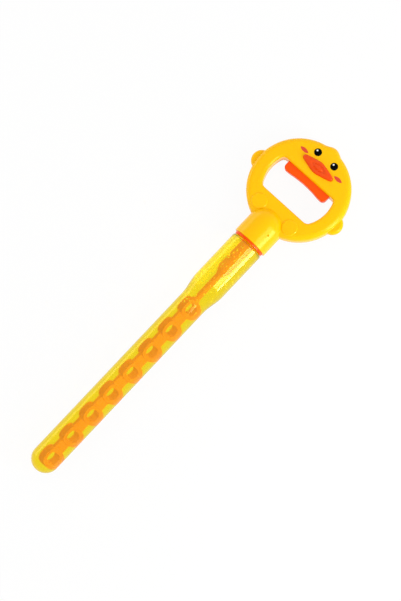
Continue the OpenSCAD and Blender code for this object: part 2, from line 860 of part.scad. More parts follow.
// Zigzag outline of the bellows, as [radius, place]
function zigzag(r_out, r_in, x_from, x_to) =
    [for (i = [0 : 2 * bellows_folds])
        [i % 2 == 0 ? r_in : r_out, x_from + (x_to - x_from) * i / (2 * bellows_folds)]];

// Soft bellows that the trigger squeezes
module squeaker_bellows() {
    end_x = bellows_x + bellows_len;
    outer = zigzag(bellows_r, bellows_r - fold_depth, bellows_x, end_x);
    inner = zigzag(bellows_r - bellows_wall, bellows_r - fold_depth - bellows_wall,
        bellows_x + bellows_wall, end_x - bellows_wall);
    color("ivory") on_head() difference() {
        along_x() rotate_extrude() polygon(concat([[0, bellows_x]], outer, [[0, end_x]]));
        along_x() rotate_extrude() polygon(concat([[0, bellows_x + bellows_wall]], inner,
            [[0, end_x - bellows_wall]]));
        bar(end_x - bellows_wall - cut, end_x + cut, spigot_r + screw_gap);
    }
}

// Reed cartridge that the bellows blow through
module squeaker_reed() {
    color("white") on_head() difference() {
        union() {
            bar(reed_x, reed_x + reed_len, reed_r);
            bar(reed_x - spigot_len, reed_x + sink, spigot_r);
        }
        bar(reed_x - spigot_len - cut, reed_x + reed_len + cut, reed_bore_r);
    }
}

bottle();
bubble_solution();
gasket();
neck_stopper();
screw_cap();
bubble_stick();
stem_washer();
stem_screw();
front_shell();
rear_shell();
shell_screws();
beak();
left_eye();
right_eye();
cheek_marks();
trigger();
left_spring();
right_spring();
squeaker_bellows();
squeaker_reed();
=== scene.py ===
import math

import bmesh
import bpy
import numpy as np
from mathutils import Matrix, Vector


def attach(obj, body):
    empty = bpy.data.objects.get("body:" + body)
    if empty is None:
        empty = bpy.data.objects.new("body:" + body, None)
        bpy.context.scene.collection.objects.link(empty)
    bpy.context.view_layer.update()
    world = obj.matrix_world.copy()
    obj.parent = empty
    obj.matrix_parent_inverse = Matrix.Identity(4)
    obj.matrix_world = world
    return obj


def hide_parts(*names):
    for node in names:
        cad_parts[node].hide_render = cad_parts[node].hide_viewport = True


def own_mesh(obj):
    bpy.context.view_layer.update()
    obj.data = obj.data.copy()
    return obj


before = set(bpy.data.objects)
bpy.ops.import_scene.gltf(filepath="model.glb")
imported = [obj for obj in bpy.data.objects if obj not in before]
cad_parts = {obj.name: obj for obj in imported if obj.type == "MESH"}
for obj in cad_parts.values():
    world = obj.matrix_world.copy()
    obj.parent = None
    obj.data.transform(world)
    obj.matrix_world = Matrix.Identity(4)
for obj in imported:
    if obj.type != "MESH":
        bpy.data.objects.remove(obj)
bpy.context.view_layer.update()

scene = bpy.context.scene
print("stage: the frame is loaded")

# Places below are in millimetres: x from the closed end of the bottle, y and z from its axis.
wand = {"length": 447.6, "axisHeight": 19.75, "headX": 390.7}


def toMetres(points):
    # shifts a place on the wand to the part's own frame and scales it to metres
    shift = np.array([-wand["length"] / 2, 0.0, wand["axisHeight"]])
    return (points + shift) / 1000


def srgb(code):
    # turns a hex colour into the linear values that a shader takes, opaque
    parts = [int(code[i:i + 2], 16) / 255 for i in (1, 3, 5)]
    linear = [p / 12.92 if p <= 0.04045 else ((p + 0.055) / 1.055) ** 2.4 for p in parts]
    return (*linear, 1.0)


def addNode(tree, kind, settings=None, inputs=None):
    # adds one node; an input is a plain value or a pair of node and output name, which is linked
    node = tree.nodes.new(kind)
    for key, value in (settings or {}).items():
        setattr(node, key, value)
    for key, value in (inputs or {}).items():
        if isinstance(value, tuple) and isinstance(value[0], bpy.types.Node):
            tree.links.new(value[0].outputs[value[1]], node.inputs[key])
        else:
            node.inputs[key].default_value = value
    return node


def newMaterial(name):
    material = bpy.data.materials.new(name)
    material.use_nodes = True
    material.node_tree.nodes.clear()
    return material, material.node_tree


def gridQuads(rows, columns, wrapRows=False, wrapColumns=False):
    # corners of every square between neighbouring lines of a rows by columns grid
    rowCount, columnCount = rows - (not wrapRows), columns - (not wrapColumns)
    i, j = np.meshgrid(np.arange(rowCount), np.arange(columnCount), indexing="ij")
    nextI, nextJ = (i + 1) % rows, (j + 1) % columns
    corners = [i * columns + j, i * columns + nextJ, nextI * columns + nextJ, nextI * columns + j]
    return np.stack(corners, -1).reshape(-1, 4)


def facesOutward(points, quads):
    # the enclosed volume is the sum of the tetrahedra from the origin to each triangle: below zero, the faces
    # look inward and are turned round
    a, b, c, d = (points[quads[:, k]] for k in range(4))
    volume = (np.cross(b, c) * a).sum() + (np.cross(c, d) * a).sum()
    return quads if volume > 0 else quads[:, ::-1]


def stack(parts):
    # puts several (points, quads) together as one, each part with its faces outward
    points, quads, count = [], [], 0
    for p, q in parts:
        p = p.reshape(-1, 3)
        points.append(p)
        quads.append(facesOutward(p, q) + count)
        count += len(p)
    return np.concatenate(points), np.concatenate(quads)


def newObject(name, parts, creaseAngle=None):
    # makes a mesh object in metres from grid parts, merges the doubled points of poles, and shades it smooth
    points, quads = stack(parts)
    mesh = bpy.data.meshes.new(name)
    mesh.from_pydata(toMetres(points).tolist(), [], quads.tolist())
    mesh.validate()
    mergeDoubles(mesh)
    mesh.polygons.foreach_set("use_smooth", np.ones(len(mesh.polygons), bool))
    if creaseAngle:
        mesh.set_sharp_from_angle(angle=math.radians(creaseAngle))
    mesh.update()
    piece = bpy.data.objects.new(name, mesh)
    scene.collection.objects.link(piece)
    return piece


def mergeDoubles(mesh):
    # one point where several lie within two thousandths of a millimetre, and no faces without an area
    work = bmesh.new()
    work.from_mesh(mesh)
    bmesh.ops.remove_doubles(work, verts=work.verts, dist=2e-6)
    bmesh.ops.dissolve_degenerate(work, edges=work.edges, dist=1e-7)
    work.to_mesh(mesh)
    work.free()


def combine(piece, tool, operation):
    # joins two closed solids or cuts one out of the other, and drops the tool
    modifier = piece.modifiers.new("combine", "BOOLEAN")
    modifier.object, modifier.operation, modifier.solver = tool, operation, "MANIFOLD"
    bpy.context.view_layer.update()
    result = bpy.data.meshes.new_from_object(piece.evaluated_get(bpy.context.evaluated_depsgraph_get()))
    piece.modifiers.clear()
    old, piece.data = piece.data, result
    bpy.data.meshes.remove(old)
    bpy.data.objects.remove(tool)


def finishSurface(piece, creaseAngle):
    # smooth shading with creases where faces meet at more than the angle, weighted by the size of the faces
    mesh = piece.data
    mesh.polygons.foreach_set("use_smooth", np.ones(len(mesh.polygons), bool))
    mesh.set_sharp_from_angle(angle=math.radians(creaseAngle))
    weighted = piece.modifiers.new("weighted", "WEIGHTED_NORMAL")
    weighted.keep_sharp = True


def dress(piece, body, slotName, material, *replaced):
    # gives a new piece its material and the body it rides on, and hides the CAD nodes that it stands for
    piece.data.materials.clear()
    piece.data.materials.append(material)
    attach(piece, body)
    if replaced:
        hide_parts(*replaced)


def turned(profile, angles):
    # profile of (x, radius) points turned about the axis of the wand to each angle
    x, r = np.asarray(profile, float).T[..., None]
    return np.stack([np.broadcast_to(x, (len(x), len(angles))), r * np.cos(angles), r * np.sin(angles)], -1)


def turnedSolid(profile, sides):
    # closed solid of revolution about the axis of the wand, where both ends of the profile lie
    angles = np.arange(sides) / sides * 2 * math.pi
    points = turned(profile, angles)
    return points, gridQuads(len(profile), sides, False, True)


def upright(profile, centre, sides):
    # closed solid of revolution about a line along z through the centre; profile of (radius, z) points
    r, z = np.asarray(profile, float).T
    angle = np.arange(sides) / sides * 2 * math.pi
    points = np.stack([centre[0] + r[:, None] * np.cos(angle), centre[1] + r[:, None] * np.sin(angle),
                       np.broadcast_to(z[:, None], (len(z), sides))], -1)
    return points, gridQuads(len(profile), sides, False, True)


def slab(low, high):
    # plain block between two corners
    (x0, y0, z0), (x1, y1, z1) = low, high
    ring = np.array([[y0, z0], [y1, z0], [y1, z1], [y0, z1]])
    middle = ring.mean(0)
    layers = [(x0, np.tile(middle, (4, 1))), (x0, ring), (x1, ring), (x1, np.tile(middle, (4, 1)))]
    points = np.stack([np.column_stack([np.full(4, x), yz]) for x, yz in layers])
    return points, gridQuads(4, 4, False, True)


def arc(centre, radii, start, end, steps):
    # points on an ellipse from one angle to another, in degrees
    t = np.radians(np.linspace(start, end, steps + 1))
    return np.column_stack([centre[0] + radii[0] * np.cos(t), centre[1] + radii[1] * np.sin(t)])


camera = {
    "from": (-0.0800, -0.1501, 0.9854),     # direction from the wand to the camera
    "distance": 2.0,
    "aim": (0.01653, -0.00137, 0.00113),
    "wandAngle": 46.66,                     # degrees that +X is turned up from the picture's horizontal
    "lens": 116.43,
    "sensor": 36.0,
}


def placeCamera():
    # right and up are turned from the wand's own direction, seen square to the view
    view = Vector(camera["from"]).normalized()
    along = (Vector((1, 0, 0)) - view * view.x).normalized()
    across = view.cross(along)
    angle = math.radians(camera["wandAngle"])
    right = along * math.cos(angle) - across * math.sin(angle)
    up = along * math.sin(angle) + across * math.cos(angle)
    data = bpy.data.cameras.new("photoCamera")
    data.sensor_fit, data.sensor_height, data.lens = "VERTICAL", camera["sensor"], camera["lens"]
    data.clip_end = 50
    cameraObject = bpy.data.objects.new("photoCamera", data)
    scene.collection.objects.link(cameraObject)
    turn = Matrix((right, up, view)).transposed().to_4x4()
    cameraObject.matrix_world = Matrix.Translation(Vector(camera["aim"]) + view * camera["distance"]) @ turn
    scene.camera = cameraObject


placeCamera()

studio = {
    "floorSize": 60.0,
    "floorDrop": 0.0002,
    "floorWhite": 0.93,        # share of plain white that the camera sees in the floor, beside its real shade
    "ambient": 0.82,
    "strip": {"at": (0.23, -0.956, 0.31), "towards": (0.1, 0.0, 0.02), "size": (0.27, 0.4), "power": 3.4},
    "window": {"at": (0.24, -0.74, 0.68), "towards": (0.1, 0.0, 0.02), "size": (0.34, 0.7), "power": 3.0},
    "card": {"at": (-0.1, 1.2, 0.22), "towards": (0.0, 0.0, 0.02), "size": (1.9, 0.5), "power": 3.4},
}


def whiteRays(tree):
    # 1 for rays that reach the camera straight, by a mirror or through glass, and 0 for the light that falls
    path = addNode(tree, "ShaderNodeLightPath")
    seen = (path, "Is Camera Ray")
    for ray in ("Is Glossy Ray", "Is Transmission Ray"):
        seen = (addNode(tree, "ShaderNodeMath", {"operation": "MAXIMUM"}, {0: seen, 1: (path, ray)}), 0)
    return seen


def buildStudio():
    scene.view_settings.view_transform = "Standard"
    world = bpy.data.worlds.new("whiteRoom")
    scene.world = world
    world.use_nodes = True
    tree = world.node_tree
    tree.nodes.clear()
    strength = addNode(tree, "ShaderNodeMapRange", None, {
        "Value": whiteRays(tree), "To Min": studio["ambient"], "To Max": 1.0})
    background = addNode(tree, "ShaderNodeBackground", None, {
        "Color": (1, 1, 1, 1), "Strength": (strength, "Result")})
    addNode(tree, "ShaderNodeOutputWorld", None, {"Surface": (background, 0)})

    half, drop = studio["floorSize"] / 2, studio["floorDrop"]
    corners = [(x * half, y * half, -drop) for x, y in ((-1, -1), (1, -1), (1, 1), (-1, 1))]
    mesh = bpy.data.meshes.new("floor")
    mesh.from_pydata(corners, [], [(0, 1, 2, 3)])
    floor = bpy.data.objects.new("floor", mesh)
    scene.collection.objects.link(floor)
    paper, tree = newMaterial("matte white paper sweep")
    shade = addNode(tree, "ShaderNodeBsdfDiffuse", None, {"Color": srgb(paint["floor"])})
    glow = addNode(tree, "ShaderNodeEmission", None, {"Color": (1, 1, 1, 1), "Strength": 1.0})
    share = addNode(tree, "ShaderNodeMath", {"operation": "MULTIPLY"}, {
        0: whiteRays(tree), 1: studio["floorWhite"]})
    mix = addNode(tree, "ShaderNodeMixShader", None, {0: (share, 0), 1: (shade, 0), 2: (glow, 0)})
    addNode(tree, "ShaderNodeOutputMaterial", None, {"Surface": (mix, 0)})
    mesh.materials.append(paper)

    for name in ("strip", "window", "card"):
        box = studio[name]
        lamp = bpy.data.lights.new(name + "Softbox", "AREA")
        lamp.shape, lamp.size, lamp.size_y, lamp.energy = "ELLIPSE", *box["size"], box["power"]
        lampObject = bpy.data.objects.new(name + "Softbox", lamp)
        aim = Vector(box["towards"]) - Vector(box["at"])
        lampObject.location = box["at"]
        lampObject.rotation_euler = aim.to_track_quat("-Z", "Y").to_euler()
        scene.collection.objects.link(lampObject)


paint = {
    "shell": "#FFC300", "shellDeep": "#FFBC00",
    "bottle": "#FBF37E", "bottleLight": "#FFF6B4",     # a light colour is what lamps show through the wall
    "solution": "#F9EA22", "solutionLight": "#FFF6A8",
    "bubble": "#FFFFF0", "bubbleLight": "#FFFDF0",
    "stick": "#FAA300", "stickDeep": "#EE9700",
    "cap": "#FF5200", "capDeep": "#FC4A00",
    "beak": "#F2500E", "beakDeep": "#E64006",
    "eye": "#050506", "glint": "#FFFFFF",
    "ink": "#DE4A36", "inkDeep": "#D44030",
    "reed": "#F2F2F0", "reedDeep": "#E8E8E4",
    "steel": "#C9CACC", "steelDeep": "#AEB0B4",
    "gasket": "#EDEDE8", "bellows": "#EFE6CE",
    "sheen": "#FFE890", "wallSheen": "#FFF2C4", "floor": "#F4F4F2",
}

buildStudio()
print("stage: camera and studio are set")

plastic = {
    "flowPerMetre": 28.0, "peelStrength": 0.25, "glossSpread": 0.12, "ior": 1.5, "coatRoughness": 0.08,
    "bore": (0.0165, 0.0172),       # metres from the wand's axis between which the painted glow fades out; nearer the axis it is full
    "softReach": (1.0, 0.45, 0.1), "softScale": 0.002,
}


def mouldedPlastic(name, tones, roughness, glow=0.0, grainMm=0.9, grainDepth=0.02, coat=0.0, shine=0.4,
                   paintedBoreGlow=0.0):
    # An injection-moulded part: the eye sees an even colour with faint cloudy flow, fine orange peel in the
    # gloss, and light that runs a little way under the skin. Near the wand's axis the part glows with painted
    # light, an emission in its own colour with its base colour dimmed by the same share, in place of daylight
    # through a thin wall.
    p = plastic
    material, tree = newMaterial(name)
    place = addNode(tree, "ShaderNodeTexCoord")
    flow = addNode(tree, "ShaderNodeTexNoise", None, {
        "Vector": (place, "Object"), "Scale": p["flowPerMetre"], "Detail": 2.0})
    tone = addNode(tree, "ShaderNodeMix", {"data_type": "RGBA"}, {
        0: (flow, "Fac"), 6: srgb(paint[tones + "Deep"]), 7: srgb(paint[tones])})
    peel = addNode(tree, "ShaderNodeTexNoise", None, {
        "Vector": (place, "Object"), "Scale": 1000 / grainMm, "Detail": 1.0})
    bump = addNode(tree, "ShaderNodeBump", None, {
        "Height": (peel, "Fac"), "Strength": p["peelStrength"], "Distance": grainDepth / 1000})
    gloss = addNode(tree, "ShaderNodeMapRange", None, {
        "Value": (flow, "Fac"), "To Min": roughness * (1 - p["glossSpread"]),
        "To Max": roughness * (1 + p["glossSpread"])})
    # painted glow: within the bore radius the part emits its own colour and its base colour is dimmed by the
    # same share
    fromAxis = addNode(tree, "ShaderNodeVectorMath", {"operation": "SUBTRACT"}, {
        0: (place, "Object"), 1: (0, 0, wand["axisHeight"] / 1000)})
    crossways = addNode(tree, "ShaderNodeVectorMath", {"operation": "MULTIPLY"}, {
        0: (fromAxis, 0), 1: (0, 1, 1)})
    radius = addNode(tree, "ShaderNodeVectorMath", {"operation": "LENGTH"}, {0: (crossways, 0)})
    boreGlowShare = addNode(tree, "ShaderNodeMapRange", None, {
        "Value": (radius, "Value"), "From Min": p["bore"][0], "From Max": p["bore"][1],
        "To Min": paintedBoreGlow, "To Max": 0.0})
    stopped = addNode(tree, "ShaderNodeMath", {"operation": "SUBTRACT"}, {0: 1.0, 1: (boreGlowShare, "Result")})
    skin = addNode(tree, "ShaderNodeVectorMath", {"operation": "SCALE"}, {
        0: (tone, 2), "Scale": (stopped, 0)})
    shader = addNode(tree, "ShaderNodeBsdfPrincipled", None, {
        "Base Color": (skin, 0), "Roughness": (gloss, "Result"), "IOR": p["ior"], "Specular IOR Level": shine,
        "Emission Color": (tone, 2), "Emission Strength": (boreGlowShare, "Result"),
        "Specular Tint": srgb(paint["sheen"]), "Normal": (bump, "Normal"),
        "Subsurface Weight": glow, "Subsurface Radius": p["softReach"], "Subsurface Scale": p["softScale"],
        "Coat Weight": coat, "Coat Roughness": p["coatRoughness"]})
    addNode(tree, "ShaderNodeOutputMaterial", None, {"Surface": (shader, 0)})
    return material


def clearTinted(name, tones, ior, roughness, waveMm, waveDepth, clear=1.0):
    # A clear tinted wall or liquid: what lies behind is bent and dyed, lamps shine through it, and slow waves
    # in the surface make reflections wander. Rays that have crossed it more times than crossings end in a
    # painted glow of its own colour instead of being traced on.
    waveStrength, crossings, trappedGlowStrength = 0.5, 7.5, 0.7
    colour = srgb(paint[tones])
    material, tree = newMaterial(name)
    place = addNode(tree, "ShaderNodeTexCoord")
    wave = addNode(tree, "ShaderNodeTexNoise", None, {
        "Vector": (place, "Object"), "Scale": 1000 / waveMm, "Detail": 2.0})
    bump = addNode(tree, "ShaderNodeBump", None, {
        "Height": (wave, "Fac"), "Strength": waveStrength, "Distance": waveDepth / 1000})
    wall = addNode(tree, "ShaderNodeBsdfPrincipled", None, {
        "Base Color": colour, "Roughness": roughness, "IOR": ior, "Transmission Weight": clear,
        "Specular Tint": srgb(paint["wallSheen"]), "Normal": (bump, "Normal")})
    lampRays = addNode(tree, "ShaderNodeBsdfTransparent", None, {"Color": srgb(paint[tones + "Light"])})
    # painted glow: an emission in the tint colour where rays stop being traced
    trappedGlow = addNode(tree, "ShaderNodeEmission", None, {"Color": colour, "Strength": trappedGlowStrength})
    path = addNode(tree, "ShaderNodeLightPath")
    trapped = addNode(tree, "ShaderNodeMath", {"operation": "GREATER_THAN"}, {
        0: (path, "Ray Depth"), 1: crossings})
    inside = addNode(tree, "ShaderNodeMixShader", None, {0: (trapped, 0), 1: (wall, 0), 2: (trappedGlow, 0)})
    mix = addNode(tree, "ShaderNodeMixShader", None, {
        0: (path, "Is Shadow Ray"), 1: (inside, 0), 2: (lampRays, 0)})
    addNode(tree, "ShaderNodeOutputMaterial", None, {"Surface": (mix, 0)})
    return material


def brightZinc(name):
    # Zinc-plated steel: cool grey metal, slightly patchy in brightness and gloss
    patchPerMetre, smooth, dull = 600.0, 0.24, 0.42
    material, tree = newMaterial(name)
    place = addNode(tree, "ShaderNodeTexCoord")
    patch = addNode(tree, "ShaderNodeTexNoise", None, {
        "Vector": (place, "Object"), "Scale": patchPerMetre, "Detail": 3.0})
    tone = addNode(tree, "ShaderNodeMix", {"data_type": "RGBA"}, {
        0: (patch, "Fac"), 6: srgb(paint["steelDeep"]), 7: srgb(paint["steel"])})
    gloss = addNode(tree, "ShaderNodeMapRange", None, {
        "Value": (patch, "Fac"), "To Min": smooth, "To Max": dull})
    shader = addNode(tree, "ShaderNodeBsdfPrincipled", None, {
        "Base Color": (tone, 2), "Metallic": 1.0, "Roughness": (gloss, "Result")})
    addNode(tree, "ShaderNodeOutputMaterial", None, {"Surface": (shader, 0)})
    return material


def softSheet(name, tone, roughness, cellMm, cellDepth):
    # Foamed liner or soft vinyl: matte, with fine closed cells or a dull skin
    cellStrength, softWeight, softReach, softScale = 0.4, 0.1, (1.0, 0.9, 0.7), 0.001
    material, tree = newMaterial(name)
    place = addNode(tree, "ShaderNodeTexCoord")
    cells = addNode(tree, "ShaderNodeTexVoronoi", None, {
        "Vector": (place, "Object"), "Scale": 1000 / cellMm})
    bump = addNode(tree, "ShaderNodeBump", None, {
        "Height": (cells, "Distance"), "Strength": cellStrength, "Distance": cellDepth / 1000})
    shader = addNode(tree, "ShaderNodeBsdfPrincipled", None, {
        "Base Color": srgb(paint[tone]), "Roughness": roughness, "Normal": (bump, "Normal"),
        "Subsurface Weight": softWeight, "Subsurface Radius": softReach, "Subsurface Scale": softScale})
    addNode(tree, "ShaderNodeOutputMaterial", None, {"Surface": (shader, 0)})
    return material


shellAbs = mouldedPlastic("moulded glossy ABS, duck yellow", "shell", 0.2, glow=0.12)
triggerPolypropylene = mouldedPlastic("moulded polypropylene, orange red", "cap", 0.32, glow=0.1)
# the cap and the stick carry a painted glow near the wand's axis, an emission set by their last argument
capPolypropylene = mouldedPlastic("polypropylene, orange red, with painted glow near the axis", "cap", 0.32, glow=0.1,
                                  paintedBoreGlow=0.6)
stickPolypropylene = mouldedPlastic("moulded polypropylene, amber orange", "stick", 0.34, shine=0.2,
                                    paintedBoreGlow=0.56)
beakAbs = mouldedPlastic("moulded glossy ABS, beak orange", "beak", 0.22, glow=0.12, coat=0.1)
cheekInk = mouldedPlastic("pad printed cheek ink", "ink", 0.42, grainMm=0.35, grainDepth=0.01)
reedPolystyrene = mouldedPlastic("moulded polystyrene, white", "reed", 0.4, glow=0.1)
bottlePet = clearTinted("blow moulded PET, clear yellow", "bottle", 1.4, 0.03, 9.0, 0.03)
soapyWater = clearTinted("soapy water, yellow", "solution", 1.33, 0.0, 14.0, 0.02)
airInWater = clearTinted("air bubbles in soapy water", "bubble", 0.9, 0.0, 3.0, 0.001, clear=0.2)
zincSteel = brightZinc("zinc plated steel")
foamLiner = softSheet("foamed polyethylene liner", "gasket", 0.7, 0.5, 0.04)
softVinyl = softSheet("soft moulded vinyl, ivory", "bellows", 0.5, 0.8, 0.02)
print("stage: materials are made")

bottle = {
    "tubeR": 15.0, "bellyR": 18.3, "wall": 1.2, "shoulderX": 231.0, "shoulderLen": 26.0, "bellyEnd": 313.5,
    "neckR": 14.6, "neckBore": 12.8, "neckSlope": 1.0, "neckStep": 0.28, "lipX": 332.0, "lipRound": 0.5,
    "threadX": 318.1, "threadHalf": 0.8, "threadDepth": 0.9, "threadFade": 0.08, "threadFlank": 1.6,
    "pitch": 4.0, "turns": 1.5, "stepRound": 2.2, "sides": 128,
}


def tubeRadius(x, wall):
    # radius of tube, shoulder and belly: the shoulder is half a cosine wave
    b = bottle
    share = np.clip((x - b["shoulderX"]) / b["shoulderLen"], 0, 1)
    return b["tubeR"] + (b["bellyR"] - b["tubeR"]) * (1 - np.cos(math.pi * share)) / 2 - wall


def roundEnd(wall, steps=28):
    # quarter circle from the pole of the closed end to the straight tube
    r, t = bottle["tubeR"] - wall, np.linspace(0, math.pi / 2, steps + 1)
    return np.column_stack([bottle["tubeR"] - r * np.cos(t), r * np.sin(t)])


def alongTube(wall, endX):
    # straight tube, shoulder and belly as (x, radius) up to a place
    startX, beginX = bottle["tubeR"], bottle["shoulderX"]
    bellyX = beginX + bottle["shoulderLen"]
    x = np.concatenate([np.linspace(startX, beginX, 34)[1:-1], np.linspace(beginX, bellyX, 28)[:-1],
                        np.linspace(bellyX, endX, 12)])
    return np.column_stack([x, tubeRadius(x, wall)])


def buildBottle():
    # Profile from the outer pole along the outside to the lip and back inside; the thread is a ridge added to
    # the radius where x lies near threadX + pitch * angle / full turn.
    b = bottle
    e = b["stepRound"]
    step = arc((b["bellyEnd"] - e, b["bellyR"] - e), (e, e), 90, 0, 6)
    lipEnd, lipRound = b["lipX"] - b["lipRound"], (b["lipRound"], b["lipRound"])
    neckX = np.arange(b["bellyEnd"] + 0.1, lipEnd, b["neckStep"])
    neck = np.column_stack([neckX, np.full(len(neckX), b["neckR"])])
    lip = np.vstack([arc((lipEnd, b["neckR"] - b["lipRound"]), lipRound, 90, 0, 4),
                     arc((lipEnd, b["neckBore"] + b["lipRound"]), lipRound, 0, -90, 4)])
    innerEnd = b["bellyEnd"] - b["wall"]
    outside = np.vstack([roundEnd(0), alongTube(0, b["bellyEnd"] - e), step[1:],
                         [[b["bellyEnd"], b["neckR"] + 0.2]], neck])
    inside = np.vstack([[[innerEnd, b["neckBore"]]], alongTube(b["wall"], innerEnd - b["neckSlope"])[::-1],
                        roundEnd(b["wall"])[::-1]])
    profile = np.vstack([outside, lip, inside])
    angles = np.arange(b["sides"]) / b["sides"] * 2 * math.pi
    points = turned(profile, angles)
    x = profile[:, 0]
    onNeck = (x > b["bellyEnd"]) & (np.arange(len(x)) < len(outside))
    ridge = np.zeros((len(x), b["sides"]))
    flank = b["threadFlank"]
    for turn in range(2):
        share = (angles / (2 * math.pi) + turn) / b["turns"]
        centre = b["threadX"] + b["pitch"] * share * b["turns"]
        fade = np.clip(np.minimum(share, 1 - share) / b["threadFade"], 0, 1)
        ridge += fade * np.clip(flank - flank * np.abs(x[:, None] - centre) / b["threadHalf"], 0, 1)
    scale = 1 + ridge * onNeck[:, None] * b["threadDepth"] / b["neckR"]
    points[..., 1:] *= scale[..., None]
    piece = newObject("bottleShell", [(points, gridQuads(len(profile), b["sides"], False, True))])
    finishSurface(piece, 50)
    dress(piece, "bottle", "bottle_plastic", bottlePet, "bottle")


buildBottle()

# the froth that stands on the solution is drawn as part of it, up to the top of the belly
solution = {"wallOverlap": 0.09}
froth = {
    "count": 660, "small": 0.25, "large": 0.85, "from": 220.0, "to": 310.5, "offWall": 0.15, "deep": 0.8,
    "crowd": 0.72, "crowdAt": (46, 24),     # share of bubbles on the +Y side; middle and spread in degrees
    "restAt": (-30, 40), "seed": 11,
}


def buildSolution():
    # a closed turned body whose skin lies just within the wall of the bottle
    wall = bottle["wall"] - solution["wallOverlap"]
    topX = bottle["bellyEnd"] - wall
    skin = np.vstack([roundEnd(wall), alongTube(wall, topX - bottle["neckSlope"]),
                      [[topX, bottle["neckBore"]], [topX, 0]]])
    piece = newObject("bubbleSolution", [turnedSolid(skin, 96)])
    finishSurface(piece, 50)
    dress(piece, "bottle", "solution", soapyWater, "bubble_solution")


def buildFroth():
    # small spheres, z = cos(v) and ring radius sin(v), scattered under the wall of the shoulder and the belly
    draw = np.random.default_rng(froth["seed"])
    count = froth["count"]
    size = froth["small"] + (froth["large"] - froth["small"]) * draw.random(count) ** 2.6
    x = froth["from"] + (froth["to"] - froth["from"]) * draw.random(count) ** 0.8
    crowded = draw.random(count) < froth["crowd"]
    side = np.where(crowded, draw.normal(*froth["crowdAt"], count), draw.normal(*froth["restAt"], count))
    side = np.radians(side)
    reach = tubeRadius(x, bottle["wall"]) - size - froth["offWall"] - froth["deep"] * draw.random(count) ** 2
    centre = np.column_stack([x, reach * np.sin(side), reach * np.cos(side)])
    v, u = np.linspace(0, math.pi, 6)[:, None], np.arange(8) / 8 * 2 * math.pi
    ball = np.stack([np.sin(v) * np.cos(u), np.sin(v) * np.sin(u), np.broadcast_to(np.cos(v), (6, 8))], -1)
    points = centre[:, None, None, :] + size[:, None, None, None] * ball
    quads = gridQuads(6, 8, False, True)
    quads = facesOutward(points[0].reshape(-1, 3) - centre[0], quads)
    every = (quads[None] + 48 * np.arange(count)[:, None, None]).reshape(-1, 4)
    piece = newObject("frothBubbles", [(points.reshape(-1, 3), every)])
    dress(piece, "bottle", "solution", airInWater)


buildSolution()
buildFroth()
print("stage: bottle and solution are built")

stick = {
    "ringX": 20.383, "pitch": 29.245, "count": 8, "ringR": 10.583, "holeR": 6.2, "thick": 6.9, "turn": -63.0,
    "ringPower": 2.7, "ringSquash": 0.96,
    "ribPitch": 1.5, "ribWidth": 0.42, "ribDepth": 0.7, "faceRib": 0.3, "corner": 0.7,
    "linkHalf": 6.3, "linkThick": 4.5, "linkReach": 7.3, "linkFlare": 1.3, "flareReach": 1.6, "stalkR": 2.6,
    "lean": 1.6, "leanEnd": 250.0,
    "coneX": 268.5, "coneEnd": 279.0, "wideR": 5.7, "stemR": 5.0,
    "collarX": 319.7, "collarEnd": 321.7, "collarR": 7.0, "collarRound": 0.3,
    "tangX": 335.2, "tangR": 3.9, "endX": 345.9,
}


def ringProfile():
    # rounded square of (radius, height) points: three grooves in the rim and two waves of cos in each face
    # make the ribs
    s = stick
    c, h = s["corner"], s["thick"] / 2
    rimZ = np.linspace(-h + c, h - c, 40)
    grooveZ = np.array([-s["ribPitch"], 0, s["ribPitch"]])
    groove = np.exp(-(np.abs(rimZ[:, None] - grooveZ) / s["ribWidth"]) ** 4).sum(1)
    rim = np.column_stack([s["ringR"] - s["ribDepth"] * groove, rimZ])
    faceR = np.linspace(s["ringR"] - c, s["holeR"] + c, 18)
    waves = s["faceRib"] * (1 - np.cos((faceR - faceR[-1]) / (faceR[0] - faceR[-1]) * 4 * math.pi)) / 2
    top = np.column_stack([faceR, h - waves])
    bore = np.array([[s["holeR"], h - c], [s["holeR"] - 0.05, 0], [s["holeR"], -h + c]])
    corners = [arc((r, z), (c, c), start, start + 90, 4)[1:-1] for r, z, start in (
        (s["ringR"] - c, h - c, 0), (s["holeR"] + c, h - c, 90),
        (s["holeR"] + c, -h + c, 180), (s["ringR"] - c, -h + c, 270))]
    return np.vstack([rim, corners[0], top, corners[1], bore, corners[2], top[::-1] * [1, -1], corners[3]])


def leanAt(x):
    # how far the stick hangs over towards -Y at a place: most near the closed end and none at the stem
    return -stick["lean"] * (1 - np.minimum(x / stick["leanEnd"], 1)) ** 1.2


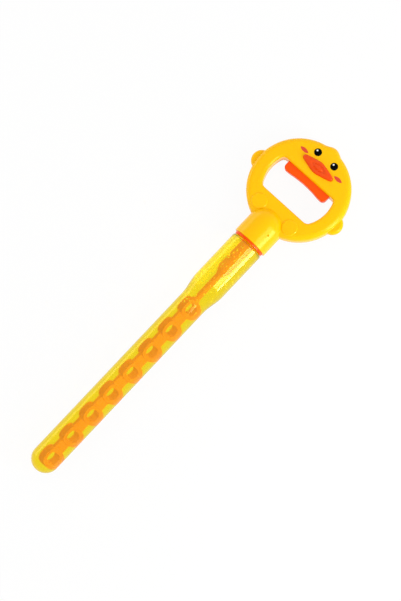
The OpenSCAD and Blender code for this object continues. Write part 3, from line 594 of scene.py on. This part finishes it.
def buildStick():
    # Each ring is its profile run round a superellipse, |x| ** power + |y| ** power = 1, about an axis across
    # the wand that is tilted away from the face.
    s = stick
    profile = ringProfile()
    angle = np.arange(80) / 80 * 2 * math.pi
    tilt = math.radians(s["turn"])
    axis = np.array([0, math.sin(tilt), math.cos(tilt)])
    across = np.array([0, math.cos(tilt), -math.sin(tilt)])
    r, h = profile[:, 0, None, None], profile[:, 1, None, None]
    power = s["ringPower"]
    reach = ((np.abs(np.cos(angle)) ** power + np.abs(np.sin(angle)) ** power) ** (-1 / power))[:, None]
    lengthways = np.array([1.0, 0, 0])
    cosine, sine = np.cos(angle)[:, None], np.sin(angle)[:, None]
    ring = r * reach * (s["ringSquash"] * cosine * lengthways + sine * across) + h * axis
    parts = []
    centres = s["ringX"] + s["pitch"] * np.arange(s["count"])
    for centre in centres:
        parts.append((ring + np.array([centre, 0, 0]), gridQuads(len(profile), 80, True, True)))
    turn = np.arange(36) / 36 * 2 * math.pi
    roundSquare = (np.cos(turn) ** 4 + np.sin(turn) ** 4) ** -0.25
    for centre in centres[:-1]:
        # A link is a flat bar with rounded edges whose ends are hidden in the rings. Its half width falls
        # from the rings like exp(-distance squared). Its first and last lines are points, which close it.
        x = np.linspace(centre + s["linkReach"], centre + s["pitch"] - s["linkReach"], 25)
        toRing = np.minimum(x - x[0], x[-1] - x)
        half = np.pad(s["linkHalf"] + s["linkFlare"] * np.exp(-(toRing / s["flareReach"]) ** 2), 1)
        thick = np.pad(np.full(len(x), s["linkThick"] / 2), 1)
        x = np.pad(x, 1, "edge")[:, None, None]
        wide = (half[:, None] * np.cos(turn) * roundSquare)[..., None] * across
        deep = (thick[:, None] * np.sin(turn) * roundSquare)[..., None] * axis
        parts.append((x * lengthways + wide + deep, gridQuads(len(x), 36, False, True)))
    startX = centres[-1] + s["linkReach"]
    neckX = np.linspace(startX, s["coneX"], 12)
    flare = 1.2 * np.exp(-(neckX - startX - 3) / 1.2).clip(0, 1)
    coneX = np.linspace(s["coneX"], s["coneEnd"], 16)[1:]
    coneWave = (1 - np.cos((coneX - s["coneX"]) / (s["coneEnd"] - s["coneX"]) * math.pi)) / 2
    cone = s["stalkR"] + (s["wideR"] - s["stalkR"]) * coneWave
    collarSide = s["collarR"] - s["collarRound"]
    stem = np.vstack([
        [[startX, 0]], np.column_stack([neckX, s["stalkR"] + flare]), np.column_stack([coneX, cone]),
        [[s["collarX"], s["wideR"]], [s["collarX"] + 0.1, collarSide], [s["collarX"] + 0.4, s["collarR"]],
         [s["collarEnd"] - s["collarRound"], s["collarR"]], [s["collarEnd"], collarSide],
         [s["collarEnd"], s["stemR"]], [s["tangX"], s["stemR"]], [s["tangX"], s["tangR"]],
         [s["endX"], s["tangR"]], [s["endX"], 0]]])
    parts.append(turnedSolid(stem, 64))
    leaning = [(points + leanAt(points[..., :1]) * np.array([0, 1, 0]), quads) for points, quads in parts]
    piece = newObject("bubbleStick", leaning)
    finishSurface(piece, 40)
    dress(piece, "head", "stick_plastic", stickPolypropylene, "bubble_stick")


buildStick()
print("stage: stick is built")

head = {
    "r": 54.0, "halfThick": 9.5, "edge": 6.0, "wall": 2.0, "tuftX": 44.9, "tuftR": 12.0, "tuftBlend": 1.5,
    "windowR": 37.5, "windowLow": 22.0, "windowHigh": 15.4, "windowEdge": 3.6, "lowCorner": 2.6,
    "highCorner": 3.0, "collarR": 19.75, "collarX": -74.2, "domeX": -51.6, "rimRound": 0.7,
    "wing": (-2.8, 49.1), "wingR": 11.3, "wingHalf": 4.5, "wingEdge": 3.4, "wingRoot": -3,
    "foot": (-36.5, 20.8), "footR": 8.6, "footOut": 0.9, "footEdge": 1.5, "footRoot": 1.4,
    "eye": (41.1, 11.2), "eyeR": 4.05, "eyePocket": 0.5, "eyeGap": 0.08,
    "posts": ((-29.5, 0), (-8, 45.05), (-8, -45.05), (34, 32), (34, -32), (46.5, 0)),
    "postR": 4.3, "postDepth": 8.2, "wellR": 3.05, "wellDepth": 3.2, "wellBevel": 0.3, "screwHole": 1.75,
    "slotHalf": 28.3, "slotDepth": 4.3, "ventX": 37.1, "ventPitch": 2.8, "ventSize": (1.2, 9.0),
    "gateMark": (-58.0, -11.5), "gateR": 0.95, "gateDepth": 0.9,
    "partingGap": 0.06, "partingBevel": 0.28, "bevelReach": 0.35, "rays": 224,
}


def roundMax(a, b, r):
    # greater of two distances, with a rounded corner of radius r where they cross
    return np.minimum(-r, np.maximum(a, b)) + np.hypot(np.maximum(a + r, 0), np.maximum(b + r, 0))


def windowDistance(x, y):
    # distance outside a circle that is cut off straight below and above
    low = roundMax(np.hypot(x, y) - head["windowR"], -head["windowLow"] - x, head["lowCorner"])
    return roundMax(low, x - head["windowHigh"], head["highCorner"])


def headDistance(x, y):
    # distance outside the round head or its tuft, with a soft valley between the two
    tuft = np.hypot(x - head["tuftX"], y) - head["tuftR"]
    return -roundMax(head["r"] - np.hypot(x, y), -tuft, head["tuftBlend"])


def rayReach(distanceTo, level, angle, centreX, furthest=80.0):
    # halves the reach of each ray again and again until the distance field has the level there
    shape = np.broadcast(level, angle).shape
    near, far = np.zeros(shape), np.full(shape, furthest)
    for _ in range(36):
        middle = (near + far) / 2
        inside = distanceTo(centreX + middle * np.cos(angle), middle * np.sin(angle)) < level
        near, far = np.where(inside, middle, near), np.where(inside, far, middle)
    return (near + far) / 2


def headRing(inset, side, depth):
    # Ring body between window and outline. For each ray from the middle of the window the section runs up the
    # window wall, over its rounded edge, across the face, over the outer edge and down.
    d = head
    top = d["halfThick"] - inset
    bevel = d["partingBevel"] if inset == 0 else 0.0
    inEdge, outEdge = d["windowEdge"] - inset * 0.8, d["edge"] - inset
    t = np.linspace(0, math.pi / 2, 9)
    inOffset = np.concatenate([[bevel, bevel, 0], inEdge * (1 - np.cos(t))]) + inset
    inZ = np.concatenate([[-depth, 0, d["bevelReach"]], top - inEdge + inEdge * np.sin(t)])
    outOffset = np.concatenate([[bevel, bevel, 0], outEdge * (1 - np.cos(t))]) + inset
    outZ = np.concatenate([[-depth, 0, d["bevelReach"]], top - outEdge + outEdge * np.sin(t)])
    centreX = (d["windowHigh"] - d["windowLow"]) / 2
    angle = (np.arange(d["rays"]) / d["rays"] * 2 * math.pi)[:, None]
    inner = rayReach(windowDistance, inOffset, angle, centreX)
    outer = rayReach(headDistance, -outOffset, angle, centreX)
    share = np.linspace(0, 1, 12)[1:-1]
    across = inner[:, -1:] * (1 - share) + outer[:, -1:] * share
    reach = np.concatenate([inner, across, outer[:, ::-1]], 1)
    z = np.concatenate([inZ, np.full(len(share), top), outZ[::-1]])
    points = np.stack([wand["headX"] + centreX + reach * np.cos(angle), reach * np.sin(angle),
                       np.broadcast_to(side * z, reach.shape)], -1)
    return points, gridQuads(d["rays"], len(z), True, True)


def collarSolid(inset, overrun):
    # straight collar and its dome, turned about the wand; at the parting plane the radius dips by the bevel
    d = head
    r = d["collarR"] - inset
    rim, dome = wand["headX"] + d["collarX"] - overrun, wand["headX"] + d["domeX"]
    e = d["rimRound"] if inset == 0 else 0.01
    profile = np.vstack([[[rim, 0]], arc((rim + e, r - e), (e, e), 180, 90, 5), [[(rim + dome) / 2, r]],
                         arc((dome, 0), (r, r), 90, 0, 20)])
    step = d["bevelReach"] / r
    extra = [step, math.pi - step, math.pi + step, 2 * math.pi - step]
    angle = np.unique(np.concatenate([np.arange(96) / 96 * 2 * math.pi, extra]))
    points = turned(profile, angle)
    if inset == 0:
        # z is the radius times the sine of the angle; the bevel fades out over its reach from the plane
        dip = d["partingBevel"] * np.clip(1 - np.abs(points[..., 2]) / d["bevelReach"], 0, 1)
        points[..., 1] -= np.sign(points[..., 1]) * np.minimum(dip, np.abs(points[..., 1]))
    return points, gridQuads(len(profile), len(angle), False, True)


def disc(centre, r, low, high, edge, side, bevel=0.0):
    # upright disc with a rounded upper edge
    rise = min(edge, high - low)
    wall = [[r - bevel, low], [r - bevel, 0], [r, head["bevelReach"]]] if bevel else [[r, low]]
    profile = np.vstack([[[0, low]], wall, arc((r - edge, high - rise), (edge, rise), 0, 90, 8), [[0, high]]])
    profile[:, 1] *= side
    return upright(profile, (wand["headX"] + centre[0], centre[1]), 72)


def rod(centre, r, low, high, sides):
    # plain upright rod, used to fill and to cut
    return upright([(0, low), (r, low), (r, high), (0, high)], (wand["headX"] + centre[0], centre[1]), sides)


def solidOf(parts):
    # several overlapping closed parts made one solid
    piece = newObject("part", parts[:1])
    for part in parts[1:]:
        combine(piece, newObject("tool", [part]), "UNION")
    return piece


def rearDetails(shell):
    # screw posts are added; their wells and the slits of the sound vent are returned as cuts
    d, x0 = head, wand["headX"]
    back, reach, wellTop = -d["halfThick"], d["wellR"] + d["wellBevel"], d["wellDepth"] - d["halfThick"]
    well = [(0, 2), (d["screwHole"], 2), (d["screwHole"], wellTop), (d["wellR"], wellTop),
            (d["wellR"], back + d["wellBevel"]), (reach, back), (reach, back - 1), (0, back - 1)]
    cuts = []
    for x, y in d["posts"]:
        combine(shell, newObject("tool", [rod((x, y), d["postR"], -0.5, -d["postDepth"], 40)]), "UNION")
        cuts.append(upright(well, (x0 + x, y), 40))
    wide, tall = d["ventSize"]
    for k in (-1, 0, 1):
        x = x0 + d["ventX"] + k * d["ventPitch"]
        cuts.append(slab((x - wide / 2, -tall / 2, -12), (x + wide / 2, tall / 2, -6)))
    return cuts


def frontDetails():
    # pockets under the eyes and the round mark of the moulding gate in the dome
    d = head
    eyeX, eyeY = d["eye"]
    markY = d["gateMark"][1]
    markZ = math.sqrt(d["collarR"] ** 2 - markY ** 2)
    pocket, r = d["halfThick"] - d["eyePocket"], d["eyeR"] + d["eyeGap"]
    return [*(rod((eyeX, y * eyeY), r, pocket, 12, 48) for y in (-1, 1)),
            rod(d["gateMark"], d["gateR"], markZ - d["gateDepth"], markZ + 4, 20)]


def headShell(name, side, node):
    # side is 1 for the shell with the face and -1 for the one behind it
    d, x0 = head, wand["headX"]
    wingX, wingY = d["wing"]
    footX, footY = d["foot"]
    front = d["halfThick"]
    parts = [headRing(0, side, 3.0), collarSolid(0, 0)]
    for y in (-1, 1):
        parts.append(disc((wingX, y * wingY), d["wingR"], d["wingRoot"], d["wingHalf"], d["wingEdge"], side,
                          d["partingBevel"]))
    if side > 0:
        for y in (-1, 1):
            parts.append(disc((footX, y * footY), d["footR"], front - d["footRoot"], front + d["footOut"],
                              d["footEdge"], 1))
    shell = solidOf(parts)
    shell.name = name
    combine(shell, solidOf([headRing(d["wall"], side, 5.0), collarSolid(d["wall"], 2.0)]), "DIFFERENCE")
    cuts = frontDetails() if side > 0 else rearDetails(shell)
    # last come the slot of the trigger and all beyond the parting plane
    slotX, slotY, slotZ = x0 + d["windowHigh"], d["slotHalf"], d["slotDepth"]
    cuts.append(slab((slotX - 3, -slotY, -slotZ), (slotX + d["wall"] + 1, slotY, slotZ)))
    low, high = (-30, d["partingGap"]) if side > 0 else (-d["partingGap"], 30)
    cuts.append(slab((x0 - 90, -75, low), (x0 + 70, 75, high)))
    for part in cuts:
        combine(shell, newObject("tool", [part]), "DIFFERENCE")
    finishSurface(shell, 32)
    dress(shell, "head", "shell_plastic", shellAbs, node)


headShell("frontShell", 1, "front_shell")
headShell("rearShell", -1, "rear_shell")
print("stage: head shells are built")

beak = {
    "x": 28.9, "w": 39.6, "h": 14.8, "out": 4.6, "base": 1.2, "gap": 0.02, "fall": 0.45,
    "full": 1.05, "taper": 0.74, "blunt": 0.16, "tip": 20,
    "mouthDepth": 0.4, "mouthH": 0.4, "mouthW": 0.36, "mouthSoft": 0.3,
}


def buildBeak():
    # Two parameters: t runs across the face from tip to tip, s from the lower lip to the upper. Half height
    # is full - taper * |t| with round tips; the rise is a steep rim and a lens on it, less an oval groove for
    # the mouth.
    b = beak
    t = -np.cos(np.linspace(0, math.pi, 81))[:, None] * 0.999
    s = -np.cos(np.linspace(0, math.pi, 57))[None, :]
    tip = np.clip(1 - t ** b["tip"], 0, 1)
    half = b["h"] / 2 * (b["full"] - b["taper"] * np.sqrt(t * t + b["blunt"] ** 2)) * np.sqrt(tip)
    mouth = np.hypot(t / b["mouthW"], s / b["mouthH"])
    rise = (b["base"] * np.sqrt(np.clip(1 - s ** 4, 0, 1))
            + (b["out"] - b["base"]) * np.sqrt(np.clip(1 - s * s, 0, 1)) * (1 - b["fall"] * t * t)
            * (1 - b["mouthDepth"] * np.exp(-((mouth - 1) / b["mouthSoft"]) ** 2)))
    x = wand["headX"] + b["x"] + s * half
    y = np.broadcast_to(t * b["w"] / 2, x.shape)
    back = head["halfThick"] + b["gap"]
    top = np.stack([x, y, back + rise * tip ** 0.3], -1)
    under = np.stack([x, y, np.full(x.shape, back)], -1)[:, ::-1]
    points = np.concatenate([top, under], 1)
    # the strip closes across s; at both ends of t it shrinks to a point
    endA, endB = (np.broadcast_to(row.mean(0), (1, *row.shape)) for row in (points[0], points[-1]))
    points = np.concatenate([endA, points, endB])
    piece = newObject("beakLens", [(points, gridQuads(*points.shape[:2], False, True))])
    finishSurface(piece, 60)
    dress(piece, "head", "beak_plastic", beakAbs, "beak")


eye = {
    "out": 1.3, "glintAt": (0.9, 1.55), "glintR": 0.95, "glintSoft": 0.3, "roughness": 0.16, "specular": 0.02,
}


def eyeMaterial(side):
    # Glossy black ABS with a printed white glint: the eye sees one deep dark dome and a small soft spot
    material, tree = newMaterial("glossy black ABS with printed glint, " + ("left" if side < 0 else "right"))
    place = addNode(tree, "ShaderNodeTexCoord")
    (eyeX, eyeY), (x, y) = head["eye"], eye["glintAt"]
    centre = toMetres(np.array([wand["headX"] + eyeX + x, side * eyeY + y, head["halfThick"] + 1.0]))
    apart = addNode(tree, "ShaderNodeVectorMath", {"operation": "DISTANCE"}, {
        0: (place, "Object"), 1: tuple(centre)})
    spot = addNode(tree, "ShaderNodeMapRange", {"interpolation_type": "SMOOTHSTEP"}, {
        "Value": (apart, "Value"), "From Min": eye["glintR"] * (1 - eye["glintSoft"]) / 1000,
        "From Max": eye["glintR"] * (1 + eye["glintSoft"]) / 1000, "To Min": 1.0, "To Max": 0.0})
    tone = addNode(tree, "ShaderNodeMix", {"data_type": "RGBA"}, {
        0: (spot, "Result"), 6: srgb(paint["eye"]), 7: srgb(paint["glint"])})
    shader = addNode(tree, "ShaderNodeBsdfPrincipled", None, {
        "Base Color": (tone, 2), "Roughness": eye["roughness"], "IOR": plastic["ior"],
        "Specular IOR Level": eye["specular"]})
    addNode(tree, "ShaderNodeOutputMaterial", None, {"Surface": (shader, 0)})
    return material


def buildEyes():
    # flat dome: a circle arc of rise out over the radius, down to a short side wall
    (eyeX, eyeY), r, out, front = head["eye"], head["eyeR"], eye["out"], head["halfThick"]
    bulge = (r * r + out * out) / (2 * out)
    edge = np.linspace(0, math.asin(r / bulge), 12)
    dome = np.column_stack([bulge * np.sin(edge), front + out - bulge + bulge * np.cos(edge)])
    profile = np.vstack([dome, [[r, front - head["eyePocket"]], [0, front - head["eyePocket"]]]])
    for side, name in ((-1, "left"), (1, "right")):
        piece = newObject(name + "EyeDome", [upright(profile, (wand["headX"] + eyeX, side * eyeY), 48)])
        finishSurface(piece, 50)
        dress(piece, "head", "eye_plastic", eyeMaterial(side), name + "_eye")


cheek = {"x": 33.7, "y": 23.2, "w": 10.4, "h": 4.0, "gap": 0.01, "thick": 0.15}


def buildCheeks():
    # a layer of ink with two pointed ends: half height over the width is (1 - t squared) to the power 0.8
    c = cheek
    t = np.linspace(-1, 1, 33)
    half = c["h"] / 2 * (1 - t * t) ** 0.8
    edge = np.vstack([np.column_stack([half, t]), np.column_stack([-half, t])[-2:0:-1]]) * [1, c["w"] / 2]
    low, high = head["halfThick"] + c["gap"], head["halfThick"] + c["thick"]
    layers = [(0, low), (1, low), (1, high), (0, high)]
    points = np.stack([np.column_stack([edge * k, np.full(len(edge), z)]) for k, z in layers])
    quads = gridQuads(4, len(edge), False, True)
    parts = [(points + np.array([wand["headX"] + c["x"], y, 0]), quads) for y in (-c["y"], c["y"])]
    piece = newObject("cheekInk", parts, 40)
    dress(piece, "head", "cheek_ink", cheekInk, "cheek_marks")


buildBeak()
buildEyes()
buildCheeks()

trigger = {
    "low": 6.2, "half": 28.0, "corner": 4.4, "dip": 1.7, "dipHalf": 20.0, "flatHalf": 22.0, "topX": 17.9,
    "thick": 8.0, "edge": 1.4, "spineX": 13.0, "spineHalf": 23.0,
    "tabX": (17.7, 19.7), "tabHalf": 31.0, "tabZ": 5.8,
    "pinY": 23.0, "pinR": 2.2, "pinEnd": 36.2, "pinOverlap": 0.3, "pinBevel": 0.5,
}


def triggerOutline():
    # outline of the bar in the window as (x, y): rounded lower corners, a finger hollow cut by a large circle
    g = trigger
    dipR = (g["dipHalf"] ** 2 + g["dip"] ** 2) / (2 * g["dip"])
    y = np.linspace(-g["dipHalf"], g["dipHalf"], 33)
    hollow = np.column_stack([g["low"] + g["dip"] - dipR + np.sqrt(dipR ** 2 - y ** 2), y])
    right = arc((g["low"] + g["corner"], g["half"] - g["corner"]), (g["corner"], g["corner"]), 180, 90, 8)
    left = right[::-1] * [1, -1]
    flat = np.array([[g["low"], g["flatHalf"]]])
    top = [[g["topX"], g["half"]], [g["topX"], 0], [g["topX"], -g["half"]]]
    return np.vstack([left, flat * [1, -1], hollow[1:-1], flat, right, top])


def buildTrigger():
    # Layers through the thickness; near both faces the outline draws in along its own normals by a quarter
    # circle. A line along the middle closes each face.
    g = trigger
    outline = triggerOutline()
    along = np.roll(outline, -1, 0) - np.roll(outline, 1, 0)
    along /= np.linalg.norm(along, axis=1)[:, None]
    following = np.roll(outline, -1, 0)
    windsLeft = np.sign((outline[:, 0] * following[:, 1] - following[:, 0] * outline[:, 1]).sum())
    inward = np.column_stack([-along[:, 1], along[:, 0]]) * windsLeft
    inward[-3:] = [[0, -1], [0, 0], [0, 1]]
    half, e = g["thick"] / 2, g["edge"]
    t = np.linspace(0, math.pi / 2, 7)
    z = np.concatenate([-half + e - e * np.sin(t[::-1]), half - e + e * np.sin(t)])
    draw = np.concatenate([e * (1 - np.cos(t[::-1])), e * (1 - np.cos(t))])
    layers = outline[None] + draw[:, None, None] * inward[None]
    spineY = np.clip(outline[:, 1], -g["spineHalf"], g["spineHalf"])
    spine = np.column_stack([np.full(len(outline), g["spineX"]), spineY])
    layers = np.concatenate([spine[None], layers, spine[None]])
    z = np.broadcast_to(np.concatenate([[-half], z, [half]])[:, None], layers.shape[:2])
    x0 = wand["headX"]
    points = np.stack([x0 + layers[..., 0], layers[..., 1], z], -1)
    bar = points, gridQuads(*z.shape, False, True)
    tab = slab((x0 + g["tabX"][0], -g["tabHalf"], -g["tabZ"]), (x0 + g["tabX"][1], g["tabHalf"], g["tabZ"]))
    root, end, r, bevel = x0 + g["tabX"][1] - g["pinOverlap"], x0 + g["pinEnd"], g["pinR"], g["pinBevel"]
    pins = []
    for y in (-g["pinY"], g["pinY"]):
        pin, quads = turnedSolid([[root, 0], [root, r], [end - bevel, r], [end, r - bevel], [end, 0]], 32)
        pins.append((pin + np.array([0, y, 0]), quads))
    piece = newObject("fingerTrigger", [bar, tab, *pins])
    finishSurface(piece, 40)
    dress(piece, "trigger", "cap_plastic", triggerPolypropylene, "trigger")


buildTrigger()

squeaker = {
    "low": 19.85, "high": 33.75, "springR": 3.0, "wireR": 0.4, "turns": 6, "steps": 30, "wireSides": 12,
    "bellowsEnd": 33.85, "bellowsR": 6.5, "foldDepth": 2.3, "folds": 3, "bellowsWall": 0.7, "spigotR": 2.3,
    "travel": 5.0, "play": 0.2,
}


def squeezeWithTrigger(piece):
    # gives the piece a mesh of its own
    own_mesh(piece)


def buildSprings():
    # A round wire follows a helix about each guide pin: the place along x grows evenly with the angle. Both
    # ends of the wire shrink to a point, which closes it.
    q = squeaker
    turn = np.linspace(0, q["turns"] * 2 * math.pi, q["turns"] * q["steps"] + 1)[:, None]
    rise = q["low"] + q["wireR"] + (q["high"] - q["low"] - 2 * q["wireR"]) * turn / turn[-1]
    section = np.arange(q["wireSides"]) / q["wireSides"] * 2 * math.pi
    thick = np.full(len(turn), q["wireR"])[:, None]
    turn, rise, thick = (np.concatenate([v[:1], v, v[-1:]]) for v in (turn, rise, thick))
    thick[0] = thick[-1] = 0.0
    reach = q["springR"] + thick * np.cos(section)
    x = wand["headX"] + rise + thick * np.sin(section)
    for y, name in ((-trigger["pinY"], "left"), (trigger["pinY"], "right")):
        points = np.stack([x, y + reach * np.cos(turn), reach * np.sin(turn)], -1)
        piece = newObject(name + "ReturnSpring", [(points, gridQuads(*x.shape, False, True))])
        dress(piece, "head", "steel", zincSteel, name + "_spring")
        squeezeWithTrigger(piece)


def buildBellows():
    # turned wall whose radius waves like cos along its length, open where it sits on the reed's spigot
    q = squeaker
    low, end, wall = q["low"], q["bellowsEnd"], q["bellowsWall"]
    share = np.linspace(0, 1, 49)
    wave = q["bellowsR"] - q["foldDepth"] * (1 + np.cos(share * q["folds"] * 2 * math.pi)) / 2
    outer = np.column_stack([low + (end - low) * share, wave])
    inner = np.column_stack([outer[:, 0].clip(low + wall, end - wall), wave - wall])[::-1]
    mouth = [[end, q["spigotR"]], [end - wall, q["spigotR"]]]
    profile = np.vstack([[[low, 0]], outer, mouth, inner, [[low + wall, 0]]])
    piece = newObject("squeakerBellows", [turnedSolid(profile + [wand["headX"], 0], 64)])
    dress(piece, "head", "bellows_rubber", softVinyl, "squeaker_bellows")
    squeezeWithTrigger(piece)


buildSprings()
buildBellows()
print("stage: beak, eyes, trigger and squeaker are built")

# CAD nodes that keep their shape get materials only
for nodeName, material in {
    "gasket": foamLiner, "neck_stopper": capPolypropylene, "screw_cap": capPolypropylene,
    "stem_washer": zincSteel, "stem_screw": zincSteel, "shell_screws": zincSteel,
    "squeaker_reed": reedPolystyrene,
}.items():
    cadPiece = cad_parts[nodeName]
    for materialSlot in cadPiece.material_slots:
        materialSlot.material = material
